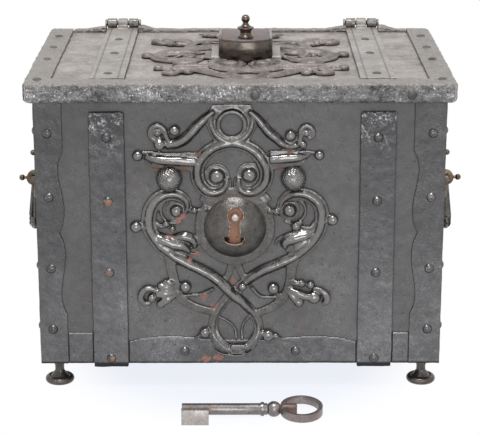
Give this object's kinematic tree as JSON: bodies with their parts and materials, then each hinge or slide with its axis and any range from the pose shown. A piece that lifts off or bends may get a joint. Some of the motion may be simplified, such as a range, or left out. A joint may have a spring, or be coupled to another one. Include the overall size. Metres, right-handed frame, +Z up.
{
  "type": "coffer chest",
  "caption": "Riveted sheet-iron strongbox on turned feet, with pierced scrollwork, a hinged lid that holds a bolt lock, drop handles and a separate key.",
  "frame": {"origin": "on the floor, under the middle of the box round the chest and the key that lies in front of it", "axes": "+X to the right along the front, +Y to the back, +Z up; the front faces -Y"},
  "size_m": [0.326, 0.2782, 0.2588],
  "materials": {
    "dark_iron": "dark patinated wrought iron, satin",
    "worn_iron": "worn brownish grey wrought iron",
    "brown_iron": "smooth brown iron",
    "steel": "filed steel with brown patina",
    "bronze": "dark bronze",
    "red_lead": "matt red-lead paint"
  },
  "bodies": {
    "chest": {"front_panel": "dark_iron", "back_panel": "dark_iron", "left_panel": "dark_iron", "right_panel": "dark_iron", "bottom_panel": "dark_iron", "front_left_foot": "dark_iron", "front_right_foot": "dark_iron", "rear_left_foot": "dark_iron", "rear_right_foot": "dark_iron", "front_left_corner_band": "dark_iron", "front_right_corner_band": "dark_iron", "rear_left_corner_band": "dark_iron", "rear_right_corner_band": "dark_iron", "front_base_band": "dark_iron", "back_base_band": "dark_iron", "left_base_band": "dark_iron", "right_base_band": "dark_iron", "left_binding_strap": "dark_iron", "right_binding_strap": "dark_iron", "left_hinge_pin": "dark_iron", "right_hinge_pin": "dark_iron", "mouth_ledges": "dark_iron", "front_rivets": "dark_iron", "back_rivets": "dark_iron", "left_rivets": "dark_iron", "right_rivets": "dark_iron", "front_scrollwork": "dark_iron", "boss_dome": "dark_iron", "boss_packing": "red_lead", "boss_pin": "steel", "left_handle_eyes": "bronze", "right_handle_eyes": "bronze"},
    "lid": {"lid_plate": "worn_iron", "lid_front_rim": "dark_iron", "lid_left_rim": "dark_iron", "lid_right_rim": "dark_iron", "lid_rear_band": "dark_iron", "left_lid_strap": "worn_iron", "right_lid_strap": "worn_iron", "lid_rivets": "worn_iron", "lid_scrollwork": "worn_iron", "keyhole_housing": "dark_iron", "cover_pin": "steel", "lock_plate": "steel", "crank_pins": "steel", "bolt_guides": "steel", "lock_bridge": "steel", "drill_pin": "steel", "bolt_spring": "steel"},
    "keyhole_cover": {"keyhole_cover": "brown_iron", "cover_finial": "bronze"},
    "main_bolt": {"main_bolt": "steel"},
    "left_crank": {"left_crank": "steel"},
    "right_crank": {"right_crank": "steel"},
    "left_side_bolt": {"left_side_bolt": "steel"},
    "right_side_bolt": {"right_side_bolt": "steel"},
    "left_handle": {"left_handle": "worn_iron"},
    "right_handle": {"right_handle": "worn_iron"},
    "key": {"key": "steel"}
  },
  "joints": [
    {"name": "lid_hinge", "type": "hinge", "parent": "chest", "child": "lid", "pos_m": [0, 0.13515, 0.2295], "axis": [-1, 0, 0], "range_deg": [0, 105]},
    {"name": "cover_hinge", "type": "hinge", "parent": "lid", "child": "keyhole_cover", "pos_m": [0.0042, 0.04395, 0.2398], "axis": [-1, 0, 0], "range_deg": [0, 110]},
    {"name": "main_bolt_slide", "type": "slide", "parent": "lid", "child": "main_bolt", "axis": [0, -1, 0], "range_m": [0, 0.009]},
    {"name": "right_crank_turn", "type": "hinge", "parent": "lid", "child": "right_crank", "pos_m": [0.088, -0.00635, 0.2128], "axis": [0, 0, 1], "range_deg": [0, 21.6]},
    {"name": "left_crank_turn", "type": "hinge", "parent": "lid", "child": "left_crank", "pos_m": [-0.088, -0.00635, 0.2128], "axis": [0, 0, -1], "range_deg": [0, 21.6]},
    {"name": "right_bolt_slide", "type": "slide", "parent": "lid", "child": "right_side_bolt", "axis": [1, 0, 0], "range_m": [0, 0.009]},
    {"name": "left_bolt_slide", "type": "slide", "parent": "lid", "child": "left_side_bolt", "axis": [-1, 0, 0], "range_m": [0, 0.009]},
    {"name": "right_handle_swing", "type": "hinge", "parent": "chest", "child": "right_handle", "pos_m": [0.152, 0.03365, 0.14], "axis": [0, -1, 0], "range_deg": [0, 175]},
    {"name": "left_handle_swing", "type": "hinge", "parent": "chest", "child": "left_handle", "pos_m": [-0.152, 0.03365, 0.14], "axis": [0, 1, 0], "range_deg": [0, 175]},
    {"name": "key_lift", "type": "slide", "parent": "chest", "child": "key", "axis": [0, 0, 1], "range_m": [0, 0.1]}
  ],
  "couplings": [
    {"joint": "right_crank_turn", "follows": "main_bolt_slide", "rad_per_m": 41.667},
    {"joint": "left_crank_turn", "follows": "main_bolt_slide", "rad_per_m": 41.667},
    {"joint": "right_bolt_slide", "follows": "main_bolt_slide", "ratio": 1},
    {"joint": "left_bolt_slide", "follows": "main_bolt_slide", "ratio": 1}
  ]
}
